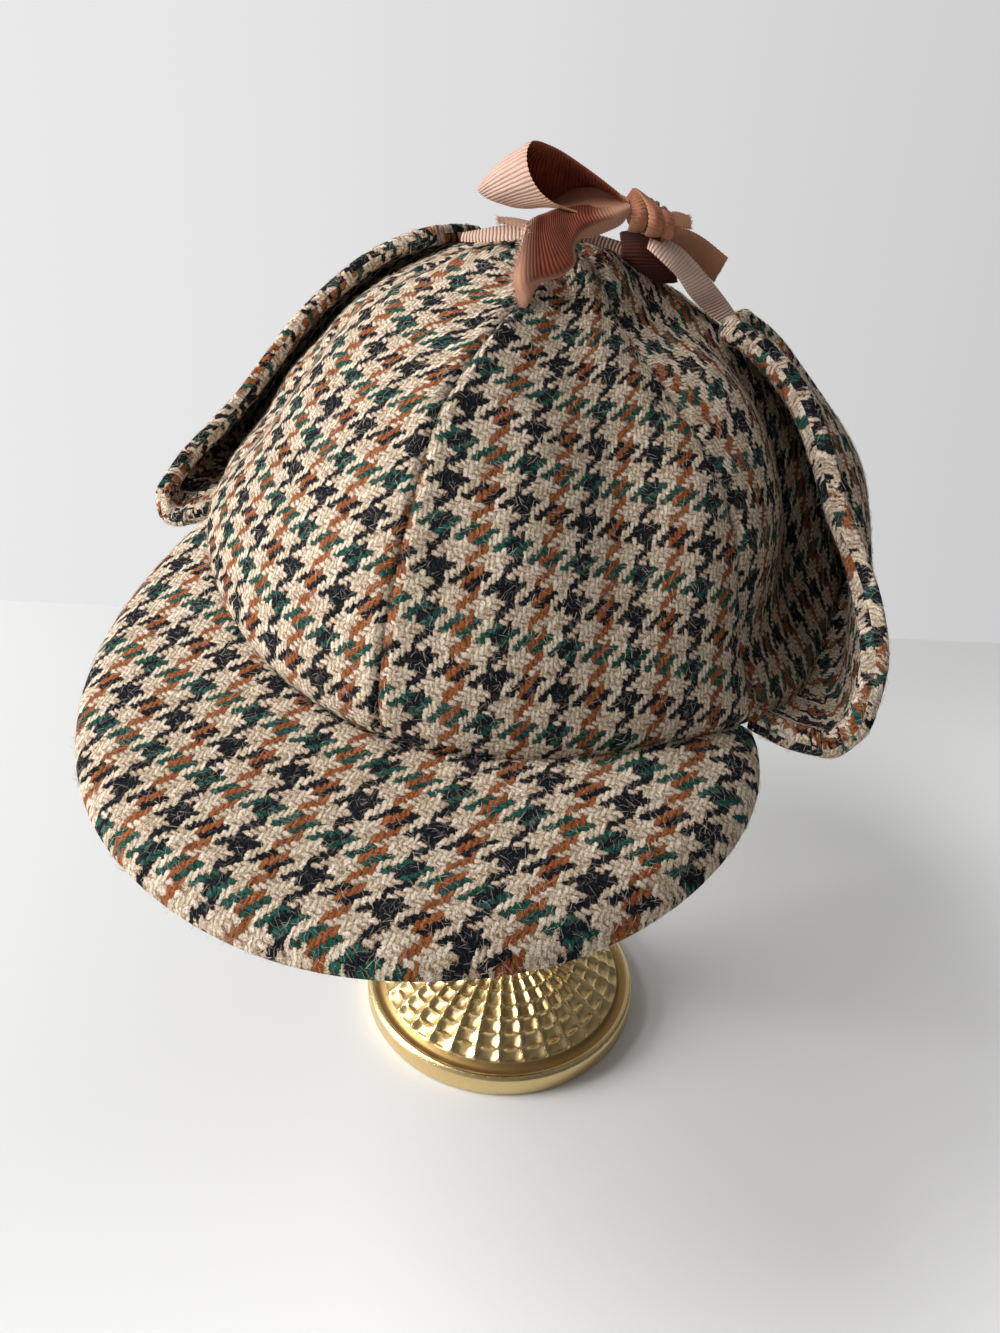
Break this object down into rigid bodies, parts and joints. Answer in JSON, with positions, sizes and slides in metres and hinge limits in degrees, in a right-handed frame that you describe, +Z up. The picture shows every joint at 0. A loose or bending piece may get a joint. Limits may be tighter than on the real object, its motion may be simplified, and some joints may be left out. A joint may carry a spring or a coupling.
{
  "type": "deerstalker hat on a brass stand",
  "caption": "Tweed deerstalker hat with peaks front and back, ear flaps tied up over the crown with a ribbon bow, on a slim round-footed brass stand.",
  "frame": {"origin": "centre of the stand's foot on the surface it stands on", "axes": "+Z up the stand's column, -Y the way the front peak points, +X to the wearer's left"},
  "size_m": [0.1805, 0.2719, 0.2644],
  "materials": {
    "crown_gore_front_left": "woven wool tweed, matte",
    "crown_gore_side_left": "woven wool tweed, matte",
    "crown_gore_back_left": "woven wool tweed, matte",
    "crown_gore_back_right": "woven wool tweed, matte",
    "crown_gore_side_right": "woven wool tweed, matte",
    "crown_gore_front_right": "woven wool tweed, matte",
    "peak_front": "woven wool tweed, matte",
    "peak_back": "woven wool tweed, matte",
    "ear_flap_left": "woven wool tweed, matte",
    "ear_flap_right": "woven wool tweed, matte",
    "tie_left": "ribbed ribbon, soft sheen",
    "tie_right": "ribbed ribbon, soft sheen",
    "bow_knot": "ribbed ribbon, soft sheen",
    "bow_loop": "ribbed ribbon, soft sheen",
    "bow_tail_front": "ribbed ribbon, soft sheen",
    "bow_tail_side": "ribbed ribbon, soft sheen",
    "stand": "polished, with a pressed pattern of small cells on the foot"
  },
  "bodies": {
    "root": {"crown_gore_front_left": "crown_gore_front_left", "crown_gore_side_left": "crown_gore_side_left", "crown_gore_back_left": "crown_gore_back_left", "crown_gore_back_right": "crown_gore_back_right", "crown_gore_side_right": "crown_gore_side_right", "crown_gore_front_right": "crown_gore_front_right", "peak_front": "peak_front", "peak_back": "peak_back", "ear_flap_left": "ear_flap_left", "ear_flap_right": "ear_flap_right", "tie_left": "tie_left", "tie_right": "tie_right", "bow_knot": "bow_knot", "bow_loop": "bow_loop", "bow_tail_front": "bow_tail_front", "bow_tail_side": "bow_tail_side", "stand": "stand"}
  },
  "joints": []
}
